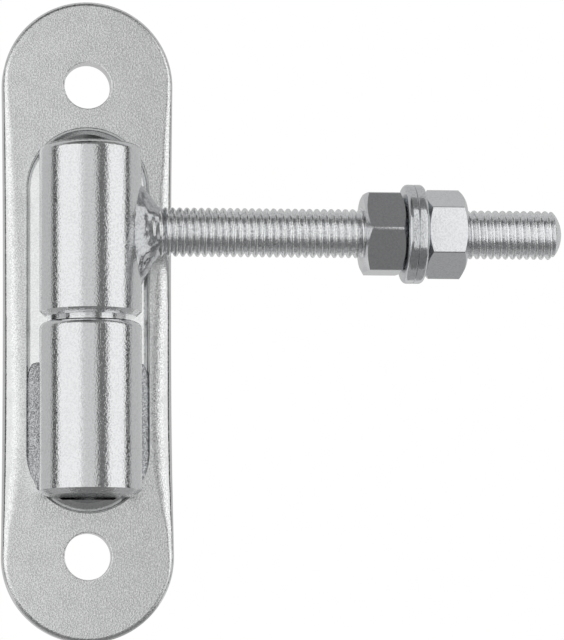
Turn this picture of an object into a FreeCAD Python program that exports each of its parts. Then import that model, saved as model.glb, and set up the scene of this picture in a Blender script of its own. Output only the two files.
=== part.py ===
import FreeCAD, Part
import math
import os

# Adjustable gate hinge, in millimetres. A plate screwed to the post carries the lower knuckle of
# a barrel hinge and its pin. The upper knuckle turns on the pin and holds the threaded stud, on
# which two nuts and two washers clamp the frame of the gate.
# +X runs along the stud, +Z up the hinge pin, and -Y faces away from the post. The origin is on
# the flat back of the plate, midway between its two screw holes.

Vector = FreeCAD.Vector

# Back plate
plate_border = 6.0           # plate on either side of the recess
hole_land = 4.85             # plate between the recess and each screw hole
plate_thickness = 5.0
plate_waist = 0.4            # how far each long side draws in at mid height
plate_end_rounding = 1.3     # front edge, round the two ends
plate_side_rounding = 3.2    # front edge, at the middle of the long sides
screw_hole_diameter = 11.3
screw_hole_rounding = 0.4

# Recess in the plate, a low shelf inside a steep wall
recess_end_gap = 4.65        # beyond each end of a barrel at mid height
recess_side_gap = 2.5        # beside the barrel
recess_wall_depth = 0.95
recess_wall_draft = 8.0      # degrees from square to the plate
recess_shelf_slope = 5.0     # degrees, down towards the middle
recess_rim_rounding = 0.25

# Trough in the middle of the recess, in which the barrel lies
trough_floor_thickness = 1.2
trough_end_slope = 36.0      # degrees, up to the shelf
trough_end_gap = 0.4         # shelf between the end of the trough and the wall

# Barrel
knuckle_diameter = 24.5
knuckle_length = 41.5
knuckle_top_rounding = 1.8
knuckle_bottom_chamfer = 1.3
knuckle_floor_clearance = 0.4    # between the barrel and the trough
barrel_offset = -1.1             # middle of the barrel, above the middle of the plate
bearing_ring_diameter = 15.8
bearing_ring_thickness = 1.2
bearing_ring_clearance = 0.15

# Hinge pin, pressed into the lower knuckle
pin_diameter = 12.0
pin_chamfer = 1.0
pin_depth_in_lower_knuckle = 30.0
pin_depth_in_upper_knuckle = 34.0
pin_running_clearance = 0.05
pin_end_clearance = 1.0
bore_mouth_chamfer = 0.5
drill_point_angle = 118.0

# Threaded stud, M12
stud_diameter = 11.85
stud_reach = 114.6           # from the hinge pin to the tip
stud_tip_radius = 8.5
stud_tip_chamfer = 0.6

# Nuts and washers on the stud
nut_across_flats = 19.0
nut_height = 10.0
nut_chamfer_angle = 30.0
nut_face_diameter = 17.6
nut_mouth_depth = 0.7
nut_thread_clearance = 0.05
inner_nut_start = 65.6       # from the hinge pin to the nearest face of the inner nut
inner_nut_turn = 0.0         # degrees, from an edge that faces straight forwards
outer_nut_turn = 30.0
washer_diameter = 24.0
washer_thickness = 2.5
washer_bore_diameter = 13.0
washer_rounding = 1.1        # rim that faces the nut
washer_edge_rounding = 0.3   # rim that faces the other washer

# Weld round the root of the stud: its reach from the stud's axis where it meets the knuckle's
# wall, upwards, downwards and to the front and back, and its length along the stud
stud_weld_rise = 11.3
stud_weld_drop = 12.4
stud_weld_depth = 6.5
stud_weld_length = 6.2
stud_weld_flare = 1.4        # 1 for straight sides, more for hollow ones
stud_weld_throat = 0.3       # weld metal left over the stud at its outer end
stud_weld_sink = 3.0         # how far the weld metal starts inside the knuckle's round wall

# Welds that seat the lower knuckle in the recess
seat_weld_length = 30.0
seat_weld_centre = -26.0
seat_weld_crown_angle = 60.0     # on the knuckle, from straight back
seat_weld_root = 5.5             # from the middle of the plate
seat_weld_hollow = 0.4

# Places worked out from the sizes above
knuckle_radius = knuckle_diameter / 2
stud_radius = stud_diameter / 2
pin_radius = pin_diameter / 2
barrel_length = 2 * knuckle_length + bearing_ring_thickness
recess_length = barrel_length + 2 * recess_end_gap
recess_width = knuckle_diameter + 2 * recess_side_gap
recess_foot_inset = recess_wall_depth * math.tan(math.radians(recess_wall_draft))
trough_radius = knuckle_radius + knuckle_floor_clearance
screw_pitch = recess_length + screw_hole_diameter + 2 * hole_land
plate_width = recess_width + 2 * plate_border
plate_length = screw_pitch + plate_width
barrel_y = -(trough_floor_thickness + trough_radius)
lower_knuckle_bottom = barrel_offset - barrel_length / 2
lower_knuckle_top = lower_knuckle_bottom + knuckle_length
upper_knuckle_bottom = lower_knuckle_top + bearing_ring_thickness
upper_knuckle_top = upper_knuckle_bottom + knuckle_length
stud_z = (upper_knuckle_bottom + upper_knuckle_top) / 2
inner_washer_start = inner_nut_start + nut_height
outer_washer_start = inner_washer_start + washer_thickness
outer_nut_start = outer_washer_start + washer_thickness

BARREL_AXIS = Vector(0, barrel_y, 0)
STUD_AXIS = Vector(0, barrel_y, stud_z)
BACK = Vector(0, 1, 0)
UP = Vector(0, 0, 1)
ALONG_STUD = Vector(1, 0, 0)
OVERRUN = 1.0     # how far a cutting shape passes through a face
SLACK = 0.01      # how closely a place is matched when edges are picked by it
WELD_RING_POINTS = 16
WELD_RINGS = 6


def arc_in_plate(centre_x, centre_z, radius, start, end):
    """An arc in the plane of the plate's back, between two angles from +X towards +Z."""
    def at(angle):
        return Vector(centre_x + radius * math.cos(angle), 0, centre_z + radius * math.sin(angle))
    return Part.Arc(at(start), at((start + end) / 2), at(end)).toShape()


def plate_outline():
    """Round ends joined by long sides that draw in slightly, all tangent to each other."""
    end_radius = plate_width / 2
    end_centre = plate_length / 2 - end_radius
    centre_gap = (plate_waist ** 2 + end_centre ** 2) / (2 * plate_waist)
    side_radius = centre_gap - end_radius
    side_centre = centre_gap - plate_waist
    lean = math.asin(end_centre / centre_gap)
    half_turn = math.pi
    return Part.Wire([
        arc_in_plate(0, end_centre, end_radius, -lean, half_turn + lean),
        arc_in_plate(-side_centre, 0, side_radius, lean, 0),
        arc_in_plate(-side_centre, 0, side_radius, 0, -lean),
        arc_in_plate(0, -end_centre, end_radius, half_turn - lean, 2 * half_turn + lean),
        arc_in_plate(side_centre, 0, side_radius, half_turn + lean, half_turn),
        arc_in_plate(side_centre, 0, side_radius, half_turn, half_turn - lean),
    ])


def lies_on_front(edge):
    box = edge.BoundBox
    return box.YMax < -plate_thickness + SLACK and box.YLength < SLACK


def rounded_blank():
    """The plate's blank, its front edge rounded more along the sides than round the ends."""
    blank = Part.Face(plate_outline()).extrude(-BACK * plate_thickness)

    def rounding_at(vertex):
        at_middle = abs(vertex.Z) < SLACK
        return plate_side_rounding if at_middle else plate_end_rounding

    roundings = []
    for number, edge in enumerate(blank.Edges, start=1):
        if lies_on_front(edge):
            first, last = edge.Vertexes[0], edge.Vertexes[-1]
            roundings.append((number, rounding_at(first), rounding_at(last)))
    document = FreeCAD.newDocument("plate")
    base = document.addObject("Part::Feature", "Blank")
    base.Shape = blank
    rounded = document.addObject("Part::Fillet", "Rounded")
    rounded.Base = base
    rounded.Edges = roundings
    document.recompute()
    solid = rounded.Shape.copy()
    FreeCAD.closeDocument(document.Name)
    return solid


def recess_cutter():
    """The space over the shelf: a section swept straight down the middle and round each end."""
    rim = recess_width / 2
    foot = rim - recess_foot_inset
    end_centre = recess_length / 2 - rim
    front_y = -plate_thickness
    foot_y = front_y + recess_wall_depth
    middle_y = foot_y + foot * math.tan(math.radians(recess_shelf_slope))

    def at(x, y):
        return Vector(x, y, end_centre)

    section = Part.Face(Part.makePolygon([
        at(0, front_y - OVERRUN),
        at(rim, front_y - OVERRUN),
        at(rim, front_y),
        at(foot, foot_y),
        at(0, middle_y),
        at(0, front_y - OVERRUN),
    ]))
    right_run = section.extrude(-UP * (2 * end_centre))
    left_run = right_run.mirror(Vector(), ALONG_STUD)
    upper_end = section.revolve(at(0, 0), -BACK, 180)
    lower_end = upper_end.mirror(Vector(), UP)
    return right_run.fuse([left_run, upper_end, lower_end]).removeSplitter()


def trough_cutter():
    """The space of the trough, round about the barrel's axis, its conical ends meeting the shelf."""
    rise = math.tan(math.radians(trough_end_slope))
    shelf_z = recess_length / 2 - recess_foot_inset - trough_end_gap
    shelf_y = (-plate_thickness + recess_wall_depth
               + trough_end_gap * math.tan(math.radians(recess_shelf_slope)))
    shelf_radius = shelf_y - barrel_y
    cone_z = shelf_z - (trough_radius - shelf_radius) / rise
    passing = trough_end_gap / 2

    def at(r, z):
        return BARREL_AXIS + Vector(r, 0, z)

    outline = Part.makePolygon([
        at(0, -shelf_z - passing),
        at(shelf_radius - passing * rise, -shelf_z - passing),
        at(trough_radius, -cone_z),
        at(trough_radius, cone_z),
        at(shelf_radius - passing * rise, shelf_z + passing),
        at(0, shelf_z + passing),
        at(0, -shelf_z - passing),
    ])
    return Part.Face(outline).revolve(BARREL_AXIS, UP, 360)


def front_edges_within(plate, reach):
    """The edges of the plate's front that keep within a distance of its middle line."""
    def keeps_within(edge):
        box = edge.BoundBox
        return max(box.XMax, -box.XMin) < reach + SLACK
    return [edge for edge in plate.Edges if lies_on_front(edge) and keeps_within(edge)]


def make_back_plate():
    plate = rounded_blank().cut(recess_cutter()).cut(trough_cutter())
    plate = plate.makeFillet(recess_rim_rounding, front_edges_within(plate, recess_width / 2))
    for side in (-1, 1):
        start = Vector(0, -plate_thickness - OVERRUN, side * screw_pitch / 2)
        hole = Part.makeCylinder(screw_hole_diameter / 2, plate_thickness + 2 * OVERRUN, start, BACK)
        plate = plate.cut(hole)
    hole_rims = front_edges_within(plate, screw_hole_diameter / 2)
    return plate.makeFillet(screw_hole_rounding, hole_rims)


def drilled_hole(radius, mouth_z, depth, direction):
    """A hole on the barrel's axis with a chamfered mouth and the cone that a drill leaves."""
    tip = radius / math.tan(math.radians(drill_point_angle / 2))

    def at(r, along):
        return BARREL_AXIS + Vector(r, 0, mouth_z + direction * along)

    outline = Part.makePolygon([
        at(0, -OVERRUN),
        at(radius + bore_mouth_chamfer + OVERRUN, -OVERRUN),
        at(radius, bore_mouth_chamfer),
        at(radius, depth),
        at(0, depth + tip),
        at(0, -OVERRUN),
    ])
    return Part.Face(outline).revolve(BARREL_AXIS, UP, 360)


def knuckle_blank(bottom_z):
    """A short round bar, rounded at its upper rim and chamfered at its lower one."""
    top_z = bottom_z + knuckle_length

    def at(r, z):
        return BARREL_AXIS + Vector(r, 0, z)

    inset = knuckle_top_rounding * (1 - math.sqrt(0.5))
    outline = Part.Wire([
        Part.makeLine(at(0, bottom_z), at(knuckle_radius - knuckle_bottom_chamfer, bottom_z)),
        Part.makeLine(at(knuckle_radius - knuckle_bottom_chamfer, bottom_z),
                      at(knuckle_radius, bottom_z + knuckle_bottom_chamfer)),
        Part.makeLine(at(knuckle_radius, bottom_z + knuckle_bottom_chamfer),
                      at(knuckle_radius, top_z - knuckle_top_rounding)),
        Part.Arc(at(knuckle_radius, top_z - knuckle_top_rounding),
                 at(knuckle_radius - inset, top_z - inset),
                 at(knuckle_radius - knuckle_top_rounding, top_z)).toShape(),
        Part.makeLine(at(knuckle_radius - knuckle_top_rounding, top_z), at(0, top_z)),
        Part.makeLine(at(0, top_z), at(0, bottom_z)),
    ])
    return Part.Face(outline).revolve(BARREL_AXIS, UP, 360)


def make_lower_knuckle():
    bore = drilled_hole(pin_radius, lower_knuckle_top, pin_depth_in_lower_knuckle, -1)
    return knuckle_blank(lower_knuckle_bottom).cut(bore)


def make_upper_knuckle():
    bore = drilled_hole(pin_radius + pin_running_clearance, upper_knuckle_bottom,
                        pin_depth_in_upper_knuckle + pin_end_clearance, 1)
    return knuckle_blank(upper_knuckle_bottom).cut(bore)


def make_hinge_pin():
    bottom_z = lower_knuckle_top - pin_depth_in_lower_knuckle
    length = upper_knuckle_bottom + pin_depth_in_upper_knuckle - bottom_z
    pin = Part.makeCylinder(pin_radius, length, BARREL_AXIS + UP * bottom_z, UP)
    rims = [edge for edge in pin.Edges if edge.BoundBox.ZLength < SLACK]
    return pin.makeChamfer(pin_chamfer, rims)


def make_bearing_ring():
    start = BARREL_AXIS + UP * lower_knuckle_top
    ring = Part.makeCylinder(bearing_ring_diameter / 2, bearing_ring_thickness, start, UP)
    bore = Part.makeCylinder(pin_radius + bearing_ring_clearance, bearing_ring_thickness + 2 * OVERRUN,
                             start - UP * OVERRUN, UP)
    return ring.cut(bore)


def knuckle_space():
    """The round space along the barrel, for fitting the stud and its weld to the knuckle's wall."""
    start = BARREL_AXIS + UP * (upper_knuckle_bottom - knuckle_length)
    return Part.makeCylinder(knuckle_radius, 3 * knuckle_length, start, UP)


def make_threaded_stud():
    """A rod with a domed tip, its root shaped to the round wall of the knuckle."""
    shoulder_radius = stud_radius - stud_tip_chamfer
    dome_centre = stud_reach - stud_tip_radius
    dome_start = dome_centre + math.sqrt(stud_tip_radius ** 2 - shoulder_radius ** 2)
    half_angle = math.asin(shoulder_radius / stud_tip_radius) / 2

    def at(x, r):
        return STUD_AXIS + Vector(x, -r, 0)

    outline = Part.Wire([
        Part.makeLine(at(0, 0), at(0, stud_radius)),
        Part.makeLine(at(0, stud_radius), at(dome_start - stud_tip_chamfer, stud_radius)),
        Part.makeLine(at(dome_start - stud_tip_chamfer, stud_radius), at(dome_start, shoulder_radius)),
        Part.Arc(at(dome_start, shoulder_radius),
                 at(dome_centre + stud_tip_radius * math.cos(half_angle),
                    stud_tip_radius * math.sin(half_angle)),
                 at(stud_reach, 0)).toShape(),
        Part.makeLine(at(stud_reach, 0), at(0, 0)),
    ])
    rod = Part.Face(outline).revolve(STUD_AXIS, ALONG_STUD, 360)
    return rod.cut(knuckle_space())


def weld_ring(x, rise, drop, depth):
    """A closed curve round the stud, an upper and a lower half ellipse of the same depth."""
    points = []
    for step in range(WELD_RING_POINTS):
        angle = 2 * math.pi * step / WELD_RING_POINTS
        reach = rise if math.sin(angle) > 0 else drop
        points.append(STUD_AXIS + Vector(x, depth * math.cos(angle), reach * math.sin(angle)))
    curve = Part.BSplineCurve()
    curve.interpolate(Points=points, PeriodicFlag=True)
    return Part.Wire([curve.toShape()])


def make_stud_weld():
    """A weld that spreads from the stud onto the knuckle, higher than it is deep."""
    end_radius = stud_radius + stud_weld_throat
    run = stud_weld_sink + stud_weld_length
    share_at_wall = stud_weld_sink / run
    rings = []
    for step in range(WELD_RINGS):
        share = step / (WELD_RINGS - 1)
        spread = ((1 - share) / (1 - share_at_wall)) ** stud_weld_flare
        rings.append(weld_ring(knuckle_radius - stud_weld_sink + run * share,
                               end_radius + (stud_weld_rise - end_radius) * spread,
                               end_radius + (stud_weld_drop - end_radius) * spread,
                               end_radius + (stud_weld_depth - end_radius) * spread))
    bead = Part.makeLoft(rings, True)
    rod = Part.makeCylinder(stud_radius, stud_reach, STUD_AXIS, ALONG_STUD)
    return bead.cut(knuckle_space()).cut(rod)


def recess_outline_prism():
    """The recess's outline, from the back of the plate to the barrel's axis."""
    rim = recess_width / 2
    end_centre = recess_length / 2 - rim
    outline = Part.Wire([
        arc_in_plate(0, end_centre, rim, 0, math.pi),
        Part.makeLine(Vector(-rim, 0, end_centre), Vector(-rim, 0, -end_centre)),
        arc_in_plate(0, -end_centre, rim, math.pi, 2 * math.pi),
        Part.makeLine(Vector(rim, 0, -end_centre), Vector(rim, 0, end_centre)),
    ])
    return Part.Face(outline).extrude(BACK * barrel_y)


def make_seat_weld(side, plate, knuckle):
    """A weld between the lower knuckle and the recess, on one side of the knuckle."""
    crown = math.radians(seat_weld_crown_angle)
    half_length = seat_weld_length / 2

    def at(x, y):
        return Vector(side * x, barrel_y + y, seat_weld_centre - half_length)

    crown_point = at(knuckle_radius * math.sin(crown), knuckle_radius * math.cos(crown))
    toe_x = recess_width / 2
    toe_y = -plate_thickness - barrel_y + recess_wall_depth / 2
    toe_point = at(toe_x, toe_y)
    hollow = (toe_point - crown_point).cross(UP * side).normalize() * seat_weld_hollow
    back_y = -trough_floor_thickness / 2 - barrel_y
    section = Part.Face(Part.Wire([
        Part.Arc(crown_point, (crown_point + toe_point) / 2 - hollow, toe_point).toShape(),
        Part.makeLine(toe_point, at(toe_x, back_y)),
        Part.makeLine(at(toe_x, back_y), at(seat_weld_root, back_y)),
        Part.makeLine(at(seat_weld_root, back_y), at(seat_weld_root, knuckle_radius / 2)),
        Part.makeLine(at(seat_weld_root, knuckle_radius / 2), crown_point),
    ]))
    bead = section.extrude(UP * seat_weld_length)
    return bead.common(recess_outline_prism()).cut(plate).cut(knuckle)


def make_nut(start_x, turn):
    """A hexagon nut, chamfered at both ends, with one edge turned from straight forwards."""
    corner_radius = nut_across_flats / math.sqrt(3)
    start = STUD_AXIS + ALONG_STUD * start_x
    corners = []
    for step in range(7):
        angle = math.radians(60 * step + turn)
        corners.append(start + Vector(0, -corner_radius * math.cos(angle),
                                      corner_radius * math.sin(angle)))
    prism = Part.Face(Part.makePolygon(corners)).extrude(ALONG_STUD * nut_height)
    face_radius = nut_face_diameter / 2
    cone_run = (corner_radius + OVERRUN - face_radius) * math.tan(math.radians(nut_chamfer_angle))

    def at(x, r):
        return start + Vector(x, -r, 0)

    envelope = Part.Face(Part.makePolygon([
        at(0, 0),
        at(0, face_radius),
        at(cone_run, corner_radius + OVERRUN),
        at(nut_height - cone_run, corner_radius + OVERRUN),
        at(nut_height, face_radius),
        at(nut_height, 0),
        at(0, 0),
    ])).revolve(start, ALONG_STUD, 360)
    bore_radius = stud_radius + nut_thread_clearance
    mouth_radius = bore_radius + nut_mouth_depth
    bore = Part.Face(Part.makePolygon([
        at(-OVERRUN, 0),
        at(-OVERRUN, mouth_radius + OVERRUN),
        at(nut_mouth_depth, bore_radius),
        at(nut_height - nut_mouth_depth, bore_radius),
        at(nut_height + OVERRUN, mouth_radius + OVERRUN),
        at(nut_height + OVERRUN, 0),
        at(-OVERRUN, 0),
    ])).revolve(start, ALONG_STUD, 360)
    return prism.common(envelope).cut(bore)


def rim_at(disc, x):
    return [edge for edge in disc.Edges
            if edge.BoundBox.XLength < SLACK and abs(edge.BoundBox.XMax - x) < SLACK]


def make_washer(start_x, nut_x, mate_x):
    """A punched washer, rounded well at the rim by its nut and lightly at the other rim."""
    start = STUD_AXIS + ALONG_STUD * start_x
    disc = Part.makeCylinder(washer_diameter / 2, washer_thickness, start, ALONG_STUD)
    disc = disc.makeFillet(washer_rounding, rim_at(disc, nut_x))
    disc = disc.makeFillet(washer_edge_rounding, rim_at(disc, mate_x))
    bore = Part.makeCylinder(washer_bore_diameter / 2, washer_thickness + 2 * OVERRUN,
                             start - ALONG_STUD * OVERRUN, ALONG_STUD)
    return disc.cut(bore)


def build_nodes():
    back_plate = make_back_plate()
    lower_knuckle = make_lower_knuckle()
    return {
        "back_plate": back_plate,
        "lower_knuckle": lower_knuckle,
        "seat_weld_left": make_seat_weld(-1, back_plate, lower_knuckle),
        "seat_weld_right": make_seat_weld(1, back_plate, lower_knuckle),
        "hinge_pin": make_hinge_pin(),
        "bearing_ring": make_bearing_ring(),
        "upper_knuckle": make_upper_knuckle(),
        "threaded_stud": make_threaded_stud(),
        "stud_weld": make_stud_weld(),
        "inner_nut": make_nut(inner_nut_start, inner_nut_turn),
        "inner_washer": make_washer(inner_washer_start, inner_washer_start, outer_washer_start),
        "outer_washer": make_washer(outer_washer_start, outer_nut_start, outer_washer_start),
        "outer_nut": make_nut(outer_nut_start, outer_nut_turn),
    }


os.makedirs("parts", exist_ok=True)
for name, shape in build_nodes().items():
    shape.exportStep("parts/" + name + ".step")
    box = shape.BoundBox
    print(name, "solids", len(shape.Solids), "valid", shape.isValid(), "volume", round(shape.Volume, 1),
          "X", round(box.XMin, 2), round(box.XMax, 2), "Y", round(box.YMin, 2), round(box.YMax, 2),
          "Z", round(box.ZMin, 2), round(box.ZMax, 2))
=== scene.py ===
# %% [markdown]
# # An adjustable gate hinge in bright zinc
# The real thing is a pressed steel plate that carries a barrel of two knuckles, and a threaded
# stud with two nuts and two washers. All of it is plated with bright zinc, so almost everything
# the eye sees is the room, mirrored in metal. This lesson loads the measured solids, gives them
# finishes, models what is too fine for them, such as the thread and the welds, and then builds
# the small studio that the metal needs.

# %% Load the solids
import math

import bpy
from mathutils import Matrix, Vector


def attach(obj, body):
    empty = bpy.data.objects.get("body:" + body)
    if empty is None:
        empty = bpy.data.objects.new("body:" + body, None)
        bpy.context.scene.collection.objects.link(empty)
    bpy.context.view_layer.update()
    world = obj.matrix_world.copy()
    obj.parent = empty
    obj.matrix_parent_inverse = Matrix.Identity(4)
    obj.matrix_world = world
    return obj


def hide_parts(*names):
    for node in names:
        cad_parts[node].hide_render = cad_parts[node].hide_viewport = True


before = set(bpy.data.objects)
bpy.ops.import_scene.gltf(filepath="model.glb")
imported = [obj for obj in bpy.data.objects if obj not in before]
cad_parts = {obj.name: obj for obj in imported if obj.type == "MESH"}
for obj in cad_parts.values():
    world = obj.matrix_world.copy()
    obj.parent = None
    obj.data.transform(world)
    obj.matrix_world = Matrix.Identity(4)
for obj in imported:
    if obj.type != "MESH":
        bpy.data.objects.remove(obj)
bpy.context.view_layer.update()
MM = 0.001
print("solids loaded:", ", ".join(sorted(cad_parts)))

# %% [markdown]
# ## Sizes
# The solids share one frame, in metres: +X along the stud, +Z up the hinge pin, -Y to the
# viewer. The few sizes that several new pieces need are written here once, in millimetres, and
# are the same as the solids' own. Sizes of one piece stand in that piece's own cell.

# %% Shared sizes in millimetres
BARREL_Y = -13.85
KNUCKLE_RADIUS = 12.25
STUD_Z = 20.25
STUD_RADIUS = 5.925
STUD_REACH = 114.6
PITCH = 1.75
print("stud reaches", STUD_REACH, "mm from the hinge pin")

# %% [markdown]
# ## Starting clean
# An operator acts on everything that is selected, and the solids come in selected. So each piece
# starts with nothing selected, and in object mode.


# %% Nothing selected
def select_nothing():
    if bpy.context.mode != "OBJECT":
        bpy.ops.object.mode_set(mode="OBJECT")
    bpy.ops.object.select_all(action="DESELECT")


select_nothing()
print("selected:", len(bpy.context.selected_objects))

# %% [markdown]
# ## Drawing a line
# Most parts here were rolled, turned or pressed, and all of those shapes come from one drawn
# line. A curve object could hold it, but a lone vertex that is extruded from point to point gives
# a mesh at once, ready to be filled, swept or extruded further.


# %% A line from a lone vertex
def outline_from(points):
    """Extrudes a lone vertex through a list of points in millimetres, and stays in edit mode."""
    select_nothing()
    bpy.ops.mesh.primitive_plane_add(size=1 * MM)
    bpy.ops.object.mode_set(mode="EDIT")
    bpy.ops.mesh.merge(type="CENTER")
    start = Vector(points[0]) * MM
    bpy.ops.transform.translate(value=start)
    for here, there in zip(points, points[1:]):
        step = (Vector(there) - Vector(here)) * MM
        bpy.ops.mesh.extrude_vertices_move(TRANSFORM_OT_translate={"value": step})
    return bpy.context.object


print("lines start from a vertex")

# %% [markdown]
# ## Turning on a lathe
# A punch, a bore or a chamfer is round, so it is a line swept about an axis. The Screw modifier
# does that like a lathe. Its seam is merged afterwards and the faces are turned outwards, because
# a cut only works with a closed solid that faces out.

# %% A line swept about an axis
MERGE_TURNED = 0.001 * MM


def apply_modifiers(piece):
    for name in [modifier.name for modifier in piece.modifiers]:
        bpy.ops.object.modifier_apply(modifier=name)


def turned(outline, axis, steps=96):
    """A closed solid of revolution: an outline in millimetres, swept about an axis at zero."""
    piece = outline_from(outline)
    bpy.ops.object.mode_set(mode="OBJECT")
    sweep = piece.modifiers.new("Sweep", "SCREW")
    sweep.axis = axis
    sweep.steps = sweep.render_steps = steps
    sweep.use_merge_vertices = True
    sweep.merge_threshold = MERGE_TURNED
    apply_modifiers(piece)
    bpy.ops.object.mode_set(mode="EDIT")
    bpy.ops.mesh.select_all(action="SELECT")
    bpy.ops.mesh.remove_doubles(threshold=MERGE_TURNED)
    bpy.ops.mesh.normals_make_consistent(inside=False)
    bpy.ops.object.mode_set(mode="OBJECT")
    return piece


print("round shapes are merged within", MERGE_TURNED / MM, "mm")

# %% [markdown]
# ## Cutting with a punch
# A hole or a recess is the shape of the tool that made it. So the tool is modelled, and a Boolean
# takes it out of the work. The exact solver trusts the faces to point outwards. A punch whose
# rows were moved about in depth may have ended up inside out, so both meshes are turned first.


# %% One mesh cut with another
def turn_outwards(piece):
    select_nothing()
    piece.select_set(True)
    bpy.context.view_layer.objects.active = piece
    bpy.ops.object.mode_set(mode="EDIT")
    bpy.ops.mesh.select_all(action="SELECT")
    bpy.ops.mesh.normals_make_consistent(inside=False)
    bpy.ops.object.mode_set(mode="OBJECT")


def carve(piece, cutter, operation):
    """Cuts one mesh with another and throws the cutter away."""
    turn_outwards(cutter)
    turn_outwards(piece)
    cut = piece.modifiers.new("Cut", "BOOLEAN")
    cut.object = cutter
    cut.operation = operation
    cut.solver = "EXACT"
    apply_modifiers(piece)
    bpy.data.objects.remove(cutter)


print("cuts use the exact solver")

# %% [markdown]
# ## Finishing a piece
# Every new piece ends the same way. Its place goes into its mesh, so that its object sits at the
# origin as a solid's does, and patterns stay put on it. Then it is told which body it moves with,
# which finish it takes and which solid it stands for.

# %% From mesh to finished piece
MERGE_FINISHED = 0.002 * MM


def finish_piece(piece, name, node, body, material, smooth_degrees):
    """Names a finished mesh, puts its origin at zero and lets it stand for its solid."""
    select_nothing()
    piece.select_set(True)
    bpy.context.view_layer.objects.active = piece
    bpy.ops.object.transform_apply(location=True, rotation=True, scale=True)
    bpy.ops.object.mode_set(mode="EDIT")
    bpy.ops.mesh.select_all(action="SELECT")
    bpy.ops.mesh.remove_doubles(threshold=MERGE_FINISHED)
    bpy.ops.mesh.normals_make_consistent(inside=False)
    bpy.ops.object.mode_set(mode="OBJECT")
    bpy.ops.object.shade_smooth_by_angle(angle=math.radians(smooth_degrees))
    piece.name = name
    piece.data.name = name
    piece.data.materials.clear()
    piece.data.materials.append(material)
    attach(piece, body)
    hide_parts(node)
    print(name, len(piece.data.polygons), "faces")


print("finished pieces are merged within", MERGE_FINISHED / MM, "mm")

# %% [markdown]
# ## Colours and nodes
# A colour is easiest to judge as the hex value that a picture editor shows, but a shader wants
# linear light, so one function turns the one into the other. Another adds a node with its
# settings and links in a single call, which keeps a material readable from top to bottom.


# %% Linear colour, and a node in one call
def linear(hex_colour):
    """An sRGB hex colour as the linear values that a shader takes."""
    channels = [int(hex_colour[i:i + 2], 16) / 255 for i in (1, 3, 5)]
    return [c / 12.92 if c <= 0.04045 else ((c + 0.055) / 1.055) ** 2.4 for c in channels] + [1.0]


def add_node(tree, kind, inputs=None, **settings):
    """Adds a node with its settings; an input is a value, or another node's output socket."""
    node = tree.nodes.new(kind)
    for name, value in settings.items():
        setattr(node, name, value)
    for socket, value in (inputs or {}).items():
        if isinstance(value, bpy.types.NodeSocket):
            tree.links.new(value, node.inputs[socket])
        else:
            node.inputs[socket].default_value = value
    return node


print("mid grey in linear light:", [round(channel, 3) for channel in linear("#808080")])

# %% [markdown]
# ## The plating
# Bright zinc is a thin electroplated layer with a clear passivation. It copies the steel under
# it, so each piece shows how it was made. An image of scratched metal could be wrapped round it,
# but the pieces have no seams to hide one, so noises in the piece's own millimetres are used.
# Three of them make every finish here: clouds of colour and gloss 5 mm wide, where the bath
# plated unevenly; soft waves 3 mm wide and 4 thousandths deep, left by rolling and turning, which
# make mirrored edges wander; and the grain, whose width and depth differ from piece to piece.
# The grain bumps the surface and speckles the colour, because its pits hold a little shade.

# %% Sizes of the plating
CLOUD_WIDTH = 5.0 * MM
WAVE_WIDTH = 3.0 * MM
WAVE_DEPTH = 0.004 * MM
GLOSS_SPREAD = 0.2
# A noise seldom leaves the middle of its range, so these parts of it are stretched to the whole.
CLOUD_RANGE = (0.3, 0.7)
GRAIN_RANGE = (0.38, 0.62)
TONE_RANGE = (0.35, 0.65)
# The share that the clouds add to the grain in the tone, at least and at most.
CLOUD_IN_TONE = (0.15, 0.35)
print("clouds", CLOUD_WIDTH / MM, "mm wide, waves", WAVE_WIDTH / MM, "mm wide")

# %% [markdown]
# The plate's recess was ironed smooth by the punch, and only the face in front of it kept its
# sand. Depth alone tells the two apart: the sand fades out within half a millimetre behind the
# face. The same fade lowers the grain's share in the tone, so everything behind the face, the
# recess most, comes out darker in colour: a painted shade.

# %% Sand on the plate's face only, and painted shade behind it
SAND_FADES_FROM, SAND_FADES_TO = -4.75 * MM, -4.25 * MM
SAND_LEFT_IN_RECESS = 0.3


def sand_by_depth(tree, place):
    """One on the plate's face, and less in its recess, for less sand and a painted shade."""
    depth = add_node(tree, "ShaderNodeSeparateXYZ", {"Vector": place}).outputs["Y"]
    return add_node(tree, "ShaderNodeMapRange", {
        "Value": depth, "From Min": SAND_FADES_FROM, "From Max": SAND_FADES_TO,
        "To Min": 1.0, "To Max": SAND_LEFT_IN_RECESS}).outputs["Result"]


print("sand left in the recess:", SAND_LEFT_IN_RECESS)

# %% [markdown]
# The recipe goes from noise to shader. The clouds set the gloss, the grain and a share of the
# clouds set the tone between a darker and the full colour, and the two bumps are stacked, the
# fine grain on top of the slow waves. Everything under the zinc is steel, so all of it is metal,
# with no colour but its own grey.


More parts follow.
